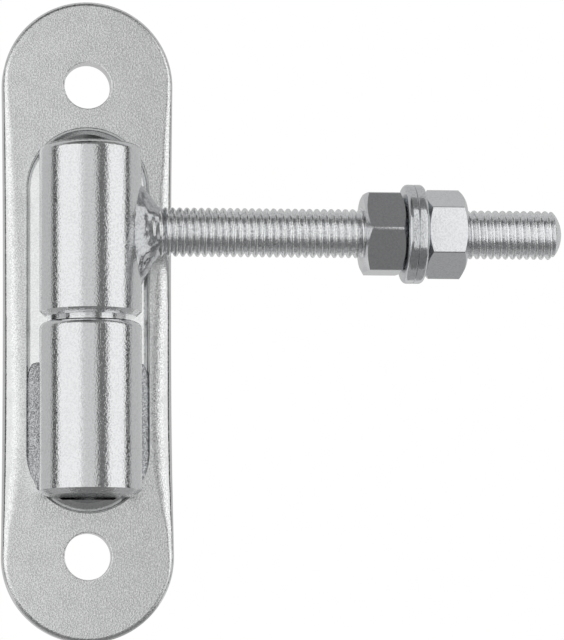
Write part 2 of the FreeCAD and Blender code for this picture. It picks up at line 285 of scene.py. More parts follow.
# %% Bright zinc plating
def zinc(name, colour, roughness, grain_mm, grain_depth_mm, speckle, sandy_front_only=False):
    """Bright zinc over steel. The grain is a bump, and it speckles the colour a little too."""
    material = bpy.data.materials.new(name)
    material.use_nodes = True
    tree = material.node_tree
    tree.nodes.clear()
    place = add_node(tree, "ShaderNodeTexCoord").outputs["Object"]
    clouds = add_node(tree, "ShaderNodeTexNoise", {
        "Vector": place, "Scale": 1 / CLOUD_WIDTH, "Detail": 3.0}).outputs["Fac"]
    waves = add_node(tree, "ShaderNodeTexNoise", {
        "Vector": place, "Scale": 1 / WAVE_WIDTH, "Detail": 1.0}).outputs["Fac"]
    grain = add_node(tree, "ShaderNodeTexNoise", {
        "Vector": place, "Scale": 1 / (grain_mm * MM), "Detail": 2.0, "Roughness": 0.6})
    height = add_node(tree, "ShaderNodeMapRange", {
        "Value": grain.outputs["Fac"], "From Min": GRAIN_RANGE[0],
        "From Max": GRAIN_RANGE[1]}).outputs["Result"]
    gloss = add_node(tree, "ShaderNodeMapRange", {
        "Value": clouds, "From Min": CLOUD_RANGE[0], "From Max": CLOUD_RANGE[1],
        "To Min": roughness * (1 + GLOSS_SPREAD),
        "To Max": roughness * (1 - GLOSS_SPREAD)}).outputs["Result"]
    # Behind the plate's face the grain is cut, which also darkens the tone there: a painted shade
    # in the recess.
    if sandy_front_only:
        sand = sand_by_depth(tree, place)
        height = add_node(tree, "ShaderNodeMath", {0: height, 1: sand},
                          operation="MULTIPLY").outputs[0]
        gloss = add_node(tree, "ShaderNodeMath", {0: gloss, 1: sand},
                         operation="MULTIPLY").outputs[0]
    shade = linear(colour)
    dark = [channel * (1 - 2 * speckle) for channel in shade[:3]] + [1.0]
    cloud_share = add_node(tree, "ShaderNodeMapRange", {
        "Value": clouds, "From Min": TONE_RANGE[0], "From Max": TONE_RANGE[1],
        "To Min": CLOUD_IN_TONE[0], "To Max": CLOUD_IN_TONE[1]})
    share = add_node(tree, "ShaderNodeMath", {
        0: height, 1: cloud_share.outputs["Result"]}, operation="ADD")
    tone = add_node(tree, "ShaderNodeMix", {
        "Factor": share.outputs[0], "A": dark, "B": shade}, data_type="RGBA")
    wavy = add_node(tree, "ShaderNodeBump", {"Height": waves, "Distance": WAVE_DEPTH})
    grainy = add_node(tree, "ShaderNodeBump", {
        "Height": height, "Distance": grain_depth_mm * MM, "Normal": wavy.outputs["Normal"]})
    shader = add_node(tree, "ShaderNodeBsdfPrincipled", {
        "Base Color": tone.outputs["Result"], "Metallic": 1.0, "Roughness": gloss,
        "Normal": grainy.outputs["Normal"]})
    add_node(tree, "ShaderNodeOutputMaterial", {"Surface": shader.outputs[0]})
    print("finish:", name)
    return material


# %% [markdown]
# ## Finishes of the plate and the barrel
# The sand of pickled plate is about 0.1 mm across, and the marks of a fine turning tool are finer
# still. A pixel of the picture is 0.24 mm wide, so both grains are drawn coarser than they are:
# 0.36 mm on the plate and 0.50 mm on the barrel, where they show. A bump's slope, its depth over
# its width, is what blurs a mirrored edge, and that slope is kept as the real one looks.

# %% Pressed plate and turned barrel
# Zinc plated steel sheet, hot rolled, pickled and pressed. The pickled sand under the zinc
# scatters the room, so the face is an even, finely speckled grey with no clear mirror image.
# Behind its face, in the recess most, the colour is painted darker as a shade.
plate_finish = zinc("zinc_plated_pressed_steel", "#F8F9F9", roughness=0.16, grain_mm=0.36,
                    grain_depth_mm=0.020, speckle=0.17, sandy_front_only=True)

# Zinc plated free-cutting steel bar, turned. It is nearly a mirror: the eye sees upright bands
# of room with crisp places, whose borders crumble into specks where the grain catches them.
barrel_finish = zinc("zinc_plated_turned_steel", "#E6E7E8", roughness=0.04, grain_mm=0.50,
                     grain_depth_mm=0.016, speckle=0.07)

# %% [markdown]
# ## Finishes of the welds
# Weld metal froze from a melt and has no grain of its own. Its ripples are modelled further down,
# and the finish only adds what is finer, drawn 0.60 mm wide on the bead so that it shows. The
# seams in the recess are rougher, with fine spatter frozen on them. That is a few tenths of a
# millimetre across, so 0.40 mm is true to life and still shows.

# %% Weld bead and weld seams
# Zinc plated weld bead, frozen from the melt. Glossy folds give the eye small hard highlights.
weld_finish = zinc("zinc_plated_weld_bead", "#C8CACC", roughness=0.20, grain_mm=0.60,
                   grain_depth_mm=0.012, speckle=0.12)

# Zinc plated weld seam with spatter. It glitters darkly, with no plain area at all.
seam_finish = zinc("zinc_plated_weld_seam", "#C8CACC", roughness=0.20, grain_mm=0.40,
                   grain_depth_mm=0.050, speckle=0.34)

# %% [markdown]
# ## Finishes of the thread, nuts, washers and pin
# These were bought in and plated in a drum, where they knock together. Their marks, too, are
# finer than a pixel and are drawn 0.3 to 0.5 mm wide, and shallow, so that a flat still looks
# flat.

# %% Thread, nuts, washers and pin
# Zinc plated carbon steel rod with a rolled thread. The rolls burnish the crests, so each ridge
# carries a bright patch with a soft edge, and the roots stay dull.
stud_finish = zinc("zinc_plated_rolled_thread", "#F6F7F8", roughness=0.20, grain_mm=0.40,
                   grain_depth_mm=0.016, speckle=0.14)

# Zinc plated steel, cold formed in a die. Each flat is one smooth tone of room.
nut_finish = zinc("zinc_plated_cold_formed_steel", "#E2E3E5", roughness=0.14, grain_mm=0.50,
                  grain_depth_mm=0.005, speckle=0.06)

# Zinc plated strip steel, punched and tumbled. It is a little duller than the nuts.
washer_finish = zinc("zinc_plated_punched_steel", "#DADCDE", roughness=0.16, grain_mm=0.50,
                     grain_depth_mm=0.006, speckle=0.10)

# Carbon steel pin, ground and greased. It hides in the barrel, and shows as a smooth grey post
# only while the leaf is lifted.
pin_finish = zinc("ground_steel", "#C4C6C8", roughness=0.20, grain_mm=0.30,
                  grain_depth_mm=0.002, speckle=0.05)

# %% [markdown]
# ## Dressing the solids
# The knuckles, the ring, the pin and the washers have their true shape already, so they only get
# a finish. The solids that a new piece will stand for get theirs as well, so that none is bare
# wherever it is shown.

# %% Finishes of the solids
solid_finishes = {
    "back_plate": plate_finish,
    "lower_knuckle": barrel_finish,
    "upper_knuckle": barrel_finish,
    "bearing_ring": barrel_finish,
    "hinge_pin": pin_finish,
    "seat_weld_left": seam_finish,
    "seat_weld_right": seam_finish,
    "stud_weld": weld_finish,
    "threaded_stud": stud_finish,
    "inner_nut": nut_finish,
    "outer_nut": nut_finish,
    "inner_washer": washer_finish,
    "outer_washer": washer_finish,
}
for node, material in solid_finishes.items():
    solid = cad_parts[node]
    solid.data.materials.clear()
    solid.data.materials.append(material)
print(len(solid_finishes), "solids have a finish")

# %% [markdown]
# ## The plate's outline
# The plate is an obround: two half circles joined by straight sides. The press drew its long
# sides in by 0.4 mm, which the eye doesn't see as a curve but does see as not quite straight. The
# points are spaced 2.5 degrees round the ends and 1.5 mm along the sides, close enough for the
# mirrored bands along the edge to run smoothly.

# %% Points of an obround
PLATE_THICKNESS = 5.0
PLATE_RADIUS = 20.75
PLATE_CENTRE = 57.25
PLATE_WAIST = 0.4
ARC_STEP_DEGREES = 2.5
SIDE_STEP = 1.5


def obround(radius, centre, waist):
    """Points round two half circles joined by sides that draw in slightly."""
    points = []
    arcs = round(180 / ARC_STEP_DEGREES)
    sides = round(2 * centre / SIDE_STEP)
    for sign in (1, -1):
        for number in range(arcs):
            angle = math.pi * number / arcs
            points.append((sign * radius * math.cos(angle), 0,
                           sign * (centre + radius * math.sin(angle))))
        for number in range(sides):
            z = centre - 2 * centre * number / sides
            x = radius - waist * (1 - (z / centre) ** 2)
            points.append((-sign * x, 0, sign * z))
    return points


plate_outline = obround(PLATE_RADIUS, PLATE_CENTRE, PLATE_WAIST)
print("plate outline has", len(plate_outline), "points")

# %% [markdown]
# ## The plate's rolled edge
# The front edge is not rounded evenly: the slope is widest a little below the middle, where the
# light makes the broad white bands, and dies away to a plain rounding at the ends. A bevel has
# one width only. So the outline is filled and extruded forwards in close rows, and each row is
# then drawn in to a quarter of an ellipse, whose width is read off a table of heights.

# %% Rows of an extruded outline
ROW_HEIGHT = 1 * MM


def extruded_rows(points, rows):
    """A closed outline filled and extruded forwards, one millimetre a row."""
    piece = outline_from(points)
    bpy.ops.mesh.select_all(action="SELECT")
    bpy.ops.mesh.edge_face_add()
    for _ in range(rows):
        bpy.ops.mesh.extrude_region_move(TRANSFORM_OT_translate={"value": (0, -ROW_HEIGHT, 0)})
    bpy.ops.mesh.select_all(action="SELECT")
    bpy.ops.mesh.normals_make_consistent(inside=False)
    bpy.ops.object.mode_set(mode="OBJECT")
    return piece


def drawn_in(vertex, centre, inset, y):
    """Moves a vertex towards the middle line of an obround and to a depth."""
    x, _, z = vertex.co / MM
    spine = max(-centre, min(centre, z))
    reach = math.hypot(x, z - spine)
    share = 1 - inset / reach
    vertex.co = Vector((x * share, y, spine + (z - spine) * share)) * MM


ROLL_ROWS = 14
plate = extruded_rows(plate_outline, ROLL_ROWS + 1)
print("plate blank has", len(plate.data.polygons), "faces")

# %% [markdown]
# The blank has straight walls so far. Row by row its points now move towards the plate's middle
# line and back from the face, as a quarter of an ellipse does. Where the roll is wide it also
# reaches deeper. The first row, on the back, stays where it is.

# %% Rolled edge
# Height and width of the roll, in millimetres.
ROLL_WIDTHS = [(-62, 1.3), (-52, 1.9), (-44, 3.6), (-36, 5.0), (-24, 5.6), (-7, 5.0), (6, 4.2),
               (30, 3.2), (42, 2.5), (56, 1.6), (62, 1.3)]
ROLL_NARROWEST, ROLL_WIDENS_BY = 1.3, 4.3
DROP_LEAST, DROP_GROWS_BY = 1.3, 1.7


def between(table, z):
    """Reads a value off a table of heights, smoothly."""
    z = max(table[0][0], min(table[-1][0], z))
    for (low, low_value), (high, high_value) in zip(table, table[1:]):
        if z <= high:
            share = (z - low) / (high - low)
            return low_value + (high_value - low_value) * share * share * (3 - 2 * share)


for vertex in plate.data.vertices:
    row = round(-vertex.co.y / ROW_HEIGHT) - 1
    if row >= 0:
        width = between(ROLL_WIDTHS, vertex.co.z / MM)
        drop = DROP_LEAST + DROP_GROWS_BY * (width - ROLL_NARROWEST) / ROLL_WIDENS_BY
        turn = math.pi / 2 * row / ROLL_ROWS
        drawn_in(vertex, PLATE_CENTRE, width * (1 - math.cos(turn)),
                 -PLATE_THICKNESS + drop * (1 - math.sin(turn)))
print("the edge is rolled over", ROLL_NARROWEST, "to", ROLL_NARROWEST + ROLL_WIDENS_BY, "mm")

# %% [markdown]
# ## The recess
# The barrel lies in a recess with a shallow shelf behind a steep wall. The shelf is deepest at
# the wall and rises towards the barrel. That slope is what turns it to the bright panel at its
# side, so it shines white past the barrel. The punch is the obround again, in rows whose inset
# and depth stand in a table.

# %% Punch for the shelf
RECESS_RADIUS = 14.75
RECESS_CENTRE = 32.0
# How far each row is drawn in, and its depth, in millimetres: mouth, wall, foot and rising shelf.
RECESS_ROWS = [(-0.7, -6.0), (-0.25, -5.0), (-0.10, -4.93), (0.0, -4.78), (0.22, -3.3),
               (0.35, -3.15), (5.6, -4.75), (14.0, -4.75)]
shelf_punch = extruded_rows(obround(RECESS_RADIUS, RECESS_CENTRE, 0), len(RECESS_ROWS) - 1)
for vertex in shelf_punch.data.vertices:
    inset, y = RECESS_ROWS[round(-vertex.co.y / ROW_HEIGHT)]
    drawn_in(vertex, RECESS_CENTRE, inset, y)
print("shelf punch has", len(shelf_punch.data.polygons), "faces")

# %% [markdown]
# ## The trough
# In the middle of the shelf the plate is hollowed to the barrel's round. The punch for it is a
# turned bar, a little wider than the barrel. Its upper end is a cone, which shows as the dark
# lens above the barrel. Its lower end is flat, with a small chamfer.

# %% Punch for the trough
PUNCH_STEPS = 120
TROUGH_RADIUS = 12.65
TROUGH_END, TROUGH_END_RADIUS = 46.2, 9.8
TROUGH_CONE = 42.5
TROUGH_FOOT = -43.6
TROUGH_FOOT_CHAMFER = 0.6
trough_punch = turned([(0, 0, TROUGH_FOOT), (TROUGH_RADIUS - TROUGH_FOOT_CHAMFER, 0, TROUGH_FOOT),
                       (TROUGH_RADIUS, 0, TROUGH_FOOT + TROUGH_FOOT_CHAMFER),
                       (TROUGH_RADIUS, 0, TROUGH_CONE), (TROUGH_END_RADIUS, 0, TROUGH_END),
                       (0, 0, TROUGH_END)], "Z", PUNCH_STEPS)
trough_punch.location = Vector((0, BARREL_Y, 0)) * MM
print("trough punch is", 2 * TROUGH_RADIUS, "mm across")

# %% [markdown]
# ## The dish below the barrel
# Below the barrel the shelf gives way to a dish with a steeper side, which mirrors the floor and
# so looks dark. It is half a saucer: a profile turned about the plate's normal, whose upper half
# is cut off and closed, as the trough and the shelf go on from there.

# %% Punch for the dish
# Radius and depth in millimetres, from the middle of the mouth to the middle of the bottom.
DISH_PROFILE = [(0, -6.0, 0), (14.9, -6.0, 0), (14.65, -5.0, 0), (14.5, -4.85, 0),
                (10.9, -3.0, 0), (0, -2.9, 0)]
DISH_TOP_Z = -1
dish_punch = turned(DISH_PROFILE, "Y", PUNCH_STEPS)
bpy.ops.object.mode_set(mode="EDIT")
bpy.ops.mesh.select_all(action="SELECT")
bpy.ops.mesh.bisect(plane_co=(0, 0, DISH_TOP_Z * MM), plane_no=(0, 0, 1), use_fill=True,
                    clear_outer=True)
bpy.ops.object.mode_set(mode="OBJECT")
dish_punch.location = Vector((0, 0, -RECESS_CENTRE)) * MM
print("dish punch has", len(dish_punch.data.polygons), "faces")

# %% [markdown]
# ## Pressing and piercing
# Now the punches come down one after another, and the two screw holes are pierced. The holes'
# front edge is rolled in as the punch drags it. Weighted normals then keep the flat face flat
# right up to its roundings, where plain smooth shading would bend its reflections.

# %% Cuts in the plate
# Radius and depth in millimetres of the hole punch, from its front to its back.
HOLE_PROFILE = [(0, -6, 0), (7.0, -6, 0), (6.05, -5.0, 0), (5.78, -4.90, 0), (5.65, -4.60, 0),
                (5.65, 1, 0), (0, 1, 0)]
PLATE_SMOOTH_DEGREES = 32
for punch in (shelf_punch, trough_punch, dish_punch):
    carve(plate, punch, "DIFFERENCE")
for side in (-1, 1):
    hole_punch = turned(HOLE_PROFILE, "Y")
    hole_punch.location = Vector((0, 0, side * PLATE_CENTRE)) * MM
    carve(plate, hole_punch, "DIFFERENCE")
finish_piece(plate, "pressed_plate", "back_plate", "plate", plate_finish,
             PLATE_SMOOTH_DEGREES)
weighted = plate.modifiers.new("Weighted", "WEIGHTED_NORMAL")
weighted.keep_sharp = True
apply_modifiers(plate)

# %% [markdown]
# ## The thread
# An M12 thread is rolled: a ridge with 30 degree flanks and a rounded crest, which climbs
# 1.75 mm a turn. It could be rows of rings or a bump texture, but the eye sees the ridge's slant
# and its notched outline, so it is made as a real helix. One pitch of the section is drawn as a
# line, and a Screw modifier sweeps it round and along.

# %% Thread section and sweep
# Place along the rod and radius in millimetres, from a root to the crest. The rest mirrors it.
HALF_SECTION = [(0.0, 5.05), (0.09, 5.09), (0.20, 5.25), (0.45, 5.66), (0.58, 5.82),
                (0.72, 5.905), (0.875, STUD_RADIUS)]
THREAD_START = 10.0
THREAD_TURNS = 61
THREAD_STEPS = 48
MERGE_THREAD = 0.01 * MM
thread_section = HALF_SECTION + [(PITCH - x, r) for x, r in reversed(HALF_SECTION[:-1])]
thread = outline_from([(THREAD_START + x, 0, r) for x, r in thread_section])
bpy.ops.object.mode_set(mode="OBJECT")
sweep = thread.modifiers.new("Sweep", "SCREW")
sweep.axis = "X"
sweep.angle = 2 * math.pi
sweep.screw_offset = PITCH * MM
sweep.iterations = THREAD_TURNS
sweep.steps = sweep.render_steps = THREAD_STEPS
sweep.use_merge_vertices = True
sweep.merge_threshold = MERGE_THREAD
apply_modifiers(thread)
print("thread swept,", len(thread.data.polygons), "faces")

# %% [markdown]
# ## The stud's ends
# The rod ends in a low dome that was turned before the thread was rolled, so the last ridges
# fade into it. Every vertex outside the dome is drawn in to it. The other end is cut flat where
# it is sunk in the knuckle.

# %% Domed tip
TIP_RADIUS = 8.5
TIP_CHAMFER = 0.6
SHOULDER_RADIUS = STUD_RADIUS - TIP_CHAMFER
DOME_CENTRE = STUD_REACH - TIP_RADIUS
DOME_START = DOME_CENTRE + math.sqrt(TIP_RADIUS ** 2 - SHOULDER_RADIUS ** 2)


def tip_radius_at(x):
    """The rod's greatest radius at a place along it, in millimetres."""
    if x < DOME_START - TIP_CHAMFER:
        return STUD_RADIUS
    if x < DOME_START:
        return SHOULDER_RADIUS + DOME_START - x
    if x < STUD_REACH:
        return math.sqrt(TIP_RADIUS ** 2 - (x - DOME_CENTRE) ** 2)
    return 0.0


for vertex in thread.data.vertices:
    x, y, z = vertex.co / MM
    radius = math.hypot(y, z)
    shrink = min(1.0, tip_radius_at(x) / radius)
    vertex.co = Vector((min(x, STUD_REACH), y * shrink, z * shrink)) * MM
print("the dome starts at", round(DOME_START, 2), "mm")

# %% [markdown]
# Points that the dome gathered in one place are merged, the root is cut off square and closed,
# and the finished thread takes the place of the plain rod.

# %% Flat root
ROOT_X = 12.0
THREAD_SMOOTH_DEGREES = 40
bpy.ops.object.mode_set(mode="EDIT")
bpy.ops.mesh.select_all(action="SELECT")
bpy.ops.mesh.remove_doubles(threshold=MERGE_FINISHED)
bpy.ops.mesh.select_all(action="SELECT")
bpy.ops.mesh.bisect(plane_co=(ROOT_X * MM, 0, 0), plane_no=(1, 0, 0), use_fill=True,
                    clear_inner=True)
bpy.ops.object.mode_set(mode="OBJECT")
thread.location = Vector((0, BARREL_Y, STUD_Z)) * MM
finish_piece(thread, "stud_thread", "threaded_stud", "leaf", stud_finish,
             THREAD_SMOOTH_DEGREES)

# %% [markdown]
# ## Frozen ripples
# Weld metal freezes in ripples and folds. They could be sculpted, but a noise that pushes the
# surface in and out along its normals gives the same kind of relief from two numbers, its width
# and its depth in millimetres.


# %% A noise that pushes a surface
def lump(piece, name, width_mm, depth_mm):
    """Pushes a mesh in and out along its normals by a noise."""
    pattern = bpy.data.textures.new(name, "CLOUDS")
    pattern.noise_scale = width_mm * MM
    push = piece.modifiers.new(name, "DISPLACE")
    push.texture = pattern
    push.strength = depth_mm * MM
    push.mid_level = 0.5
    print(name, width_mm, "mm wide,", depth_mm, "mm deep")


# %% [markdown]
# ## The weld round the stud
# The stud was welded on after its thread was rolled, so the weld runs from the knuckle's wall up
# over the first ridges. It is higher than it is deep, because it follows the knuckle. The shape
# is a ring that is extruded step by step and resized at each, and two noises push it into the
# folds that the metal froze in.

# %% Sizes of the stud's weld
WELD_START, WELD_WALL, WELD_END = 9.5, KNUCKLE_RADIUS, 17.2
WELD_RISE, WELD_DROP, WELD_DEPTH, WELD_END_RADIUS = 11.2, 12.2, 6.3, 5.55
WELD_FLARE = 1.35
WELD_POINTS, WELD_STEPS = 72, 20
WELD_SMOOTH_DEGREES = 60


def weld_reach(x):
    """Half height, half depth and middle of the weld at a place along the stud, in millimetres."""
    spread = ((WELD_END - x) / (WELD_END - WELD_WALL)) ** WELD_FLARE
    rise, drop, depth = (WELD_END_RADIUS + (reach - WELD_END_RADIUS) * spread
                         for reach in (WELD_RISE, WELD_DROP, WELD_DEPTH))
    return (rise + drop) / 2, depth, (rise - drop) / 2


print("weld at the knuckle's wall:", weld_reach(WELD_WALL))

# %% [markdown]
# A filled circle is laid in the knuckle's wall and extruded outwards. At each step it is resized
# to the reach at that place, so the flare comes out smooth before the noises break it up.

# %% Ring by ring along the stud
select_nothing()
bpy.ops.mesh.primitive_circle_add(vertices=WELD_POINTS, radius=1 * MM, fill_type="NGON",
                                  rotation=(0, math.pi / 2, 0))
weld = bpy.context.object
bpy.ops.object.transform_apply(location=True, rotation=True, scale=True)
bpy.ops.object.mode_set(mode="EDIT")
bpy.ops.mesh.select_all(action="SELECT")
height, depth, middle = weld_reach(WELD_START)
bpy.ops.transform.resize(value=(1, depth, height))
bpy.ops.transform.translate(value=(WELD_START * MM, 0, middle * MM))
for number in range(1, WELD_STEPS + 1):
    x = WELD_START + (WELD_END - WELD_START) * number / WELD_STEPS
    new_height, new_depth, new_middle = weld_reach(x)
    step = Vector(((WELD_END - WELD_START) / WELD_STEPS, 0, new_middle - middle)) * MM
    bpy.ops.mesh.extrude_region_move(TRANSFORM_OT_translate={"value": step})
    bpy.ops.transform.resize(value=(1, new_depth / depth, new_height / height))
    height, depth, middle = new_height, new_depth, new_middle
bpy.ops.object.mode_set(mode="OBJECT")
weld.location = Vector((0, BARREL_Y, STUD_Z)) * MM
lump(weld, "weld_folds", width_mm=3.6, depth_mm=1.5)
lump(weld, "weld_ripples", width_mm=1.4, depth_mm=0.2)
apply_modifiers(weld)
finish_piece(weld, "stud_weld_bead", "stud_weld", "leaf", weld_finish,
             WELD_SMOOTH_DEGREES)

# %% [markdown]
# ## The seams beside the lower knuckle
# Two seams hold the lower knuckle in the recess, one on each side. They were laid in one pass
# and lie low between the knuckle and the recess's wall, rough as sand. Each is one section,
# extruded downwards in short steps, drawn in at both ends where the arc was struck and broken.

# %% Sizes of a seam
SEAM_TOP, SEAM_BOTTOM = -10.5, -41.5
# Distance from the middle and depth in millimetres, from the knuckle over the crown to the wall.
SEAM_SECTION = [(10.4, -7.4), (11.6, -6.2), (12.8, -5.3), (13.8, -4.8), (14.8, -4.5),
                (14.9, -3.4), (10.4, -3.0), (8.5, -5.2)]
SEAM_HEART = (12.0, -4.4)
SEAM_STEPS = 60
SEAM_END_SIZE = 0.35
SEAM_TAPER = 0.12
SEAM_LEVELS = 2


def seam_size(share):
    """How large the section is, from its end size to 1 along most of the seam."""
    grown = min(1.0, math.sqrt(min(share, 1 - share) / SEAM_TAPER))
    return SEAM_END_SIZE + (1 - SEAM_END_SIZE) * grown


print("each seam is", SEAM_TOP - SEAM_BOTTOM, "mm long")

# %% [markdown]
# The right seam is the left one's mirror image, so its section is drawn with the other sign.
# A mirror modifier would copy the ripples too, and two real seams never ripple alike.

# %% Two seams
for side, word in ((-1, "left"), (1, "right")):
    seam = outline_from([(side * x, y, SEAM_TOP) for x, y in SEAM_SECTION])
    bpy.ops.mesh.select_all(action="SELECT")
    bpy.ops.mesh.edge_face_add()
    heart = Vector((side * SEAM_HEART[0], SEAM_HEART[1], SEAM_TOP)) * MM
    size = seam_size(0)
    bpy.ops.transform.resize(value=(size, size, 1), center_override=heart)
    for number in range(1, SEAM_STEPS + 1):
        step = Vector((0, 0, (SEAM_BOTTOM - SEAM_TOP) / SEAM_STEPS)) * MM
        bpy.ops.mesh.extrude_region_move(TRANSFORM_OT_translate={"value": step})
        heart += step
        new_size = seam_size(number / SEAM_STEPS)
        bpy.ops.transform.resize(value=(new_size / size, new_size / size, 1),
                                 center_override=heart)
        size = new_size
    bpy.ops.object.mode_set(mode="OBJECT")
    smooth = seam.modifiers.new("Smooth", "SUBSURF")
    smooth.levels = smooth.render_levels = SEAM_LEVELS
    lump(seam, "seam_ripples_" + word, width_mm=1.0, depth_mm=0.3)
    apply_modifiers(seam)
    finish_piece(seam, "seat_seam_" + word, "seat_weld_" + word, "plate",
                 seam_finish, WELD_SMOOTH_DEGREES)

# %% [markdown]
# ## The nuts
# A cold-formed nut is a hexagon bar whose edges never come out quite sharp. The bevel on them is
# only 0.38 mm wide, yet it is what draws the thin light and dark lines round each face.

# %% A bevelled hexagon bar
NUT_FLATS = 19.0
NUT_HEIGHT = 10.0
NUT_CORNER = NUT_FLATS / math.sqrt(3)
NUT_EDGE_WIDTH = 0.38
NUT_EDGE_SEGMENTS = 3


def hexagon_bar(turn):
    """A hexagon bar as long as a nut, along X from zero, turned about it by some degrees."""
    select_nothing()
    bpy.ops.mesh.primitive_cylinder_add(vertices=6, radius=NUT_CORNER * MM, depth=NUT_HEIGHT * MM,
                                        rotation=(0, math.pi / 2, 0),
                                        location=(NUT_HEIGHT / 2 * MM, 0, 0))
    bar = bpy.context.object
    bpy.ops.object.transform_apply(location=True, rotation=True, scale=True)
    bpy.ops.object.mode_set(mode="EDIT")
    bpy.ops.mesh.select_all(action="SELECT")
    bpy.ops.transform.rotate(value=math.radians(turn), orient_axis="X", center_override=(0, 0, 0))
    bpy.ops.object.mode_set(mode="OBJECT")
    edges = bar.modifiers.new("Edges", "BEVEL")
    edges.width = NUT_EDGE_WIDTH * MM
    edges.segments = NUT_EDGE_SEGMENTS
    edges.limit_method = "ANGLE"
    apply_modifiers(bar)
    return bar


print("a nut is", round(2 * NUT_CORNER, 2), "mm across its corners")

# %% [markdown]
# The corners of a nut are turned off at 30 degrees at both ends, which leaves a round face and
# the arcs on the flats. A double cone that is wider than the nut keeps just what lies inside it.
# The bore has a countersink at both ends and is cut by a round tool of that shape.

# %% Chamfers and bore
NUT_FACE_RADIUS = 8.8
NUT_CHAMFER_DEGREES = 30
NUT_BORE = 5.975
NUT_MOUTH = 0.7
CUT_CLEAR = 1


def chamfered_and_bored(bar):
    """Cuts the double cone and the countersunk bore of a nut."""
    outer = NUT_CORNER + CUT_CLEAR
    run = (outer - NUT_FACE_RADIUS) * math.tan(math.radians(NUT_CHAMFER_DEGREES))
    cone = turned([(0, 0, 0), (0, 0, NUT_FACE_RADIUS), (run, 0, outer),
                   (NUT_HEIGHT - run, 0, outer), (NUT_HEIGHT, 0, NUT_FACE_RADIUS),
                   (NUT_HEIGHT, 0, 0)], "X")
    carve(bar, cone, "INTERSECT")
    wide = NUT_BORE + NUT_MOUTH + CUT_CLEAR
    bore = turned([(-CUT_CLEAR, 0, 0), (-CUT_CLEAR, 0, wide), (NUT_MOUTH, 0, NUT_BORE),
                   (NUT_HEIGHT - NUT_MOUTH, 0, NUT_BORE), (NUT_HEIGHT + CUT_CLEAR, 0, wide),
                   (NUT_HEIGHT + CUT_CLEAR, 0, 0)], "X")
    carve(bar, bore, "DIFFERENCE")


print("the bore is", 2 * NUT_BORE, "mm wide")

# %% [markdown]
# The inner nut has an edge to the front, the outer one a flat. Weighted normals, with all their
# weight on the large faces, leave each flat one clean tone up to its bevels.

# %% Two hexagon nuts
NUT_SMOOTH_DEGREES = 24
# Where each nut starts along the stud, in millimetres, its turn in degrees, and its name.
NUTS = [(65.6, 0, "inner"), (80.6, 30, "outer")]
for start_x, turn, word in NUTS:
    nut = hexagon_bar(turn)
    chamfered_and_bored(nut)
    nut.location = Vector((start_x, BARREL_Y, STUD_Z)) * MM
    finish_piece(nut, word + "_hexagon_nut", word + "_nut", "nut_" + word,
                 nut_finish, NUT_SMOOTH_DEGREES)
    level = nut.modifiers.new("Level", "WEIGHTED_NORMAL")
    level.keep_sharp = True
    level.weight = 100
    apply_modifiers(nut)

# %% [markdown]
# ## The lamps
# Bright metal shows the room and little else, so the room is what gets built. Two soft panels
# stand close at either side and make the two white bands down the barrel. The bands' edges told
# where each panel begins and ends on the ground plan: a barrel whose surface faces some way
# mirrors what stands at twice that angle. The camera doesn't see the panels.


# %% Two soft panels
def soft_panel(name, near, far, low, high, radiance):
    """A soft lamp that stands between two places on the ground plan, in metres."""
    near, far = Vector((*near, (low + high) / 2)), Vector((*far, (low + high) / 2))
    lamp = bpy.data.lights.new(name, "AREA")
    lamp.shape = "RECTANGLE"
    lamp.size = (far - near).length
    lamp.size_y = high - low
    lamp.energy = radiance * math.pi * lamp.size * lamp.size_y
    holder = bpy.data.objects.new(name, lamp)
    bpy.context.scene.collection.objects.link(holder)
    upwards = Vector((0, 0, 1))
    along = (far - near).normalized()
    outward = along.cross(upwards)
    if outward.y > 0:
        along, outward = -along, -outward
    turn = Matrix((along, upwards, outward)).transposed()
    holder.matrix_world = Matrix.Translation((near + far) / 2) @ turn.to_4x4()
    holder.visible_camera = False
    print("lamp:", name, "is", round(lamp.size, 2), "m wide")


PANEL_RADIANCE = 1.04
RIGHT_NEAR, RIGHT_FAR, RIGHT_HEIGHTS = (0.097, -0.161), (0.45, -0.089), (-0.09, 0.20)
LEFT_NEAR, LEFT_FAR, LEFT_HEIGHTS = (-0.131, -0.302), (-0.45, -0.073), (-0.14, 0.24)
soft_panel("right_panel", RIGHT_NEAR, RIGHT_FAR, *RIGHT_HEIGHTS, PANEL_RADIANCE)
soft_panel("left_panel", LEFT_NEAR, LEFT_FAR, *LEFT_HEIGHTS, PANEL_RADIANCE)

# %% [markdown]
# ## The world
# The background is plain white for the camera, and for mirrors and glass as well, so that they
# show the same white wherever no wall stands before it. What lights matt surfaces is a little
# lower, so that the floor doesn't clip.

# %% White world
WHITE_LEVEL = 1.0
FILL_LEVEL = 0.9
world = bpy.data.worlds.new("pale_room")
bpy.context.scene.world = world
world.use_nodes = True
sky = world.node_tree
sky.nodes.clear()
ray = add_node(sky, "ShaderNodeLightPath").outputs
seen = add_node(sky, "ShaderNodeMath", {
    0: ray["Is Camera Ray"], 1: ray["Is Glossy Ray"]}, operation="MAXIMUM").outputs[0]
seen = add_node(sky, "ShaderNodeMath", {
    0: seen, 1: ray["Is Transmission Ray"]}, operation="MAXIMUM").outputs[0]
room_level = add_node(sky, "ShaderNodeMapRange", {
    "Value": seen, "To Min": FILL_LEVEL, "To Max": WHITE_LEVEL}).outputs["Result"]
paper = add_node(sky, "ShaderNodeBackground", {"Color": linear("#FFFFFF"), "Strength": room_level})
add_node(sky, "ShaderNodeOutputWorld", {"Surface": paper.outputs[0]})
print("the world lights with", FILL_LEVEL, "and shows", WHITE_LEVEL)

# %% [markdown]
# ## The floor
# The hinge floats in front of white in the photo, so its floor lies well below, out of the
# picture. It is matt paper, pale but not white, and it shows in the views from other sides.

